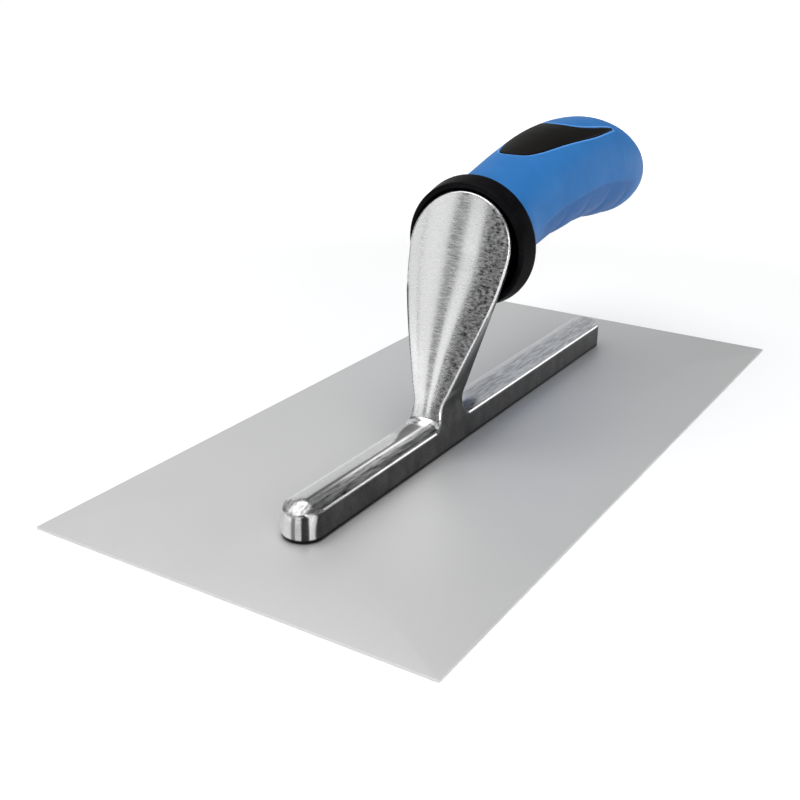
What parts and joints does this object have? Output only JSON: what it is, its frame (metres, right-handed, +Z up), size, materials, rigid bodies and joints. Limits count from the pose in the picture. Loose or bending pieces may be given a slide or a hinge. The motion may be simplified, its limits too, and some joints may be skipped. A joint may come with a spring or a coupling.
{
  "type": "finishing trowel",
  "caption": "Steel finishing trowel with a flat rectangular blade, a cast shank bar with an offset neck, a round guard collar and a swept soft grip with a palm pad.",
  "frame": {"origin": "centre of the blade's underside, which is the centre of the bounding box's bottom", "axes": "+X from the toe towards the handle's free end, along the blade; +Y across the blade; +Z up from the blade towards the handle"},
  "size_m": [0.27, 0.13, 0.0963],
  "materials": {
    "blade_steel": "satin, ground along the blade",
    "cast_aluminium": "ground and part polished",
    "rivet_steel": "ground flush with the blade",
    "black_collar": "satin",
    "core_plastic": "moulded, matte",
    "blue_grip": "soft touch, satin",
    "black_pad": "soft, satin"
  },
  "bodies": {
    "root": {"blade": "blade_steel", "shank_casting": "cast_aluminium", "rivet_1": "rivet_steel", "rivet_2": "rivet_steel", "rivet_3": "rivet_steel", "rivet_4": "rivet_steel", "rivet_5": "rivet_steel", "rivet_6": "rivet_steel", "rivet_7": "rivet_steel", "rivet_8": "rivet_steel", "collar": "black_collar", "handle_core": "core_plastic", "grip_sleeve": "blue_grip", "palm_pad": "black_pad"}
  },
  "joints": []
}
